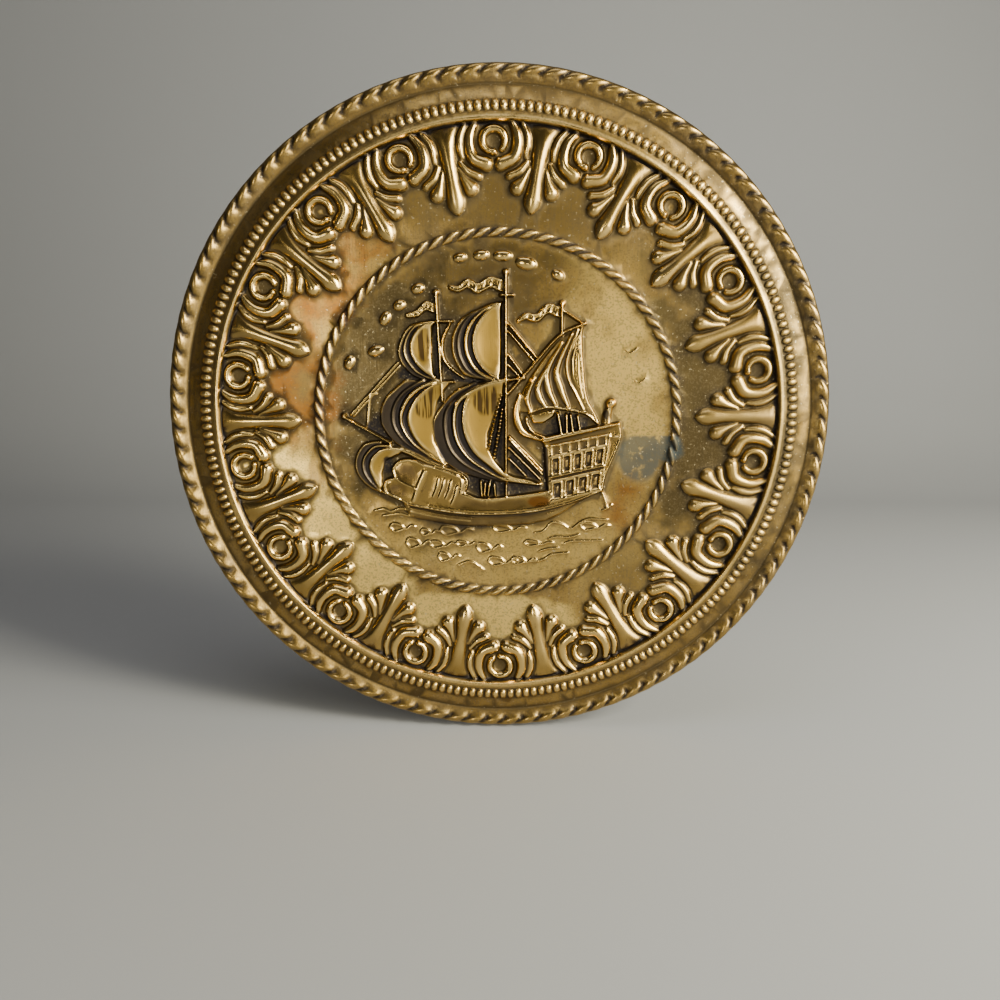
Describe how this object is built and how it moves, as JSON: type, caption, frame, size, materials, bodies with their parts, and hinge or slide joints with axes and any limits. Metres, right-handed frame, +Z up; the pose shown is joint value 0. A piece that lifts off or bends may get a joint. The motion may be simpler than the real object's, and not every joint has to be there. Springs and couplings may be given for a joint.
{
  "type": "decorative wall plaque",
  "caption": "Round pressed brass wall plaque with a sailing ship in relief inside a rope ring, a palmette frieze, a beaded border and a rolled rope edge.",
  "frame": {"origin": "the flat back of the rolled edge at the top, where the plaque rests on the wall and hangs", "axes": "+Z up, +Y into the wall, the front faces -Y, +X to the viewer's right"},
  "size_m": [0.2797, 0.0076, 0.2798],
  "materials": {
    "brass": "aged, dull polish with dark tarnish in the hollows and brown and blue-grey stains"
  },
  "bodies": {
    "root": {"plaque": "brass"}
  },
  "joints": []
}
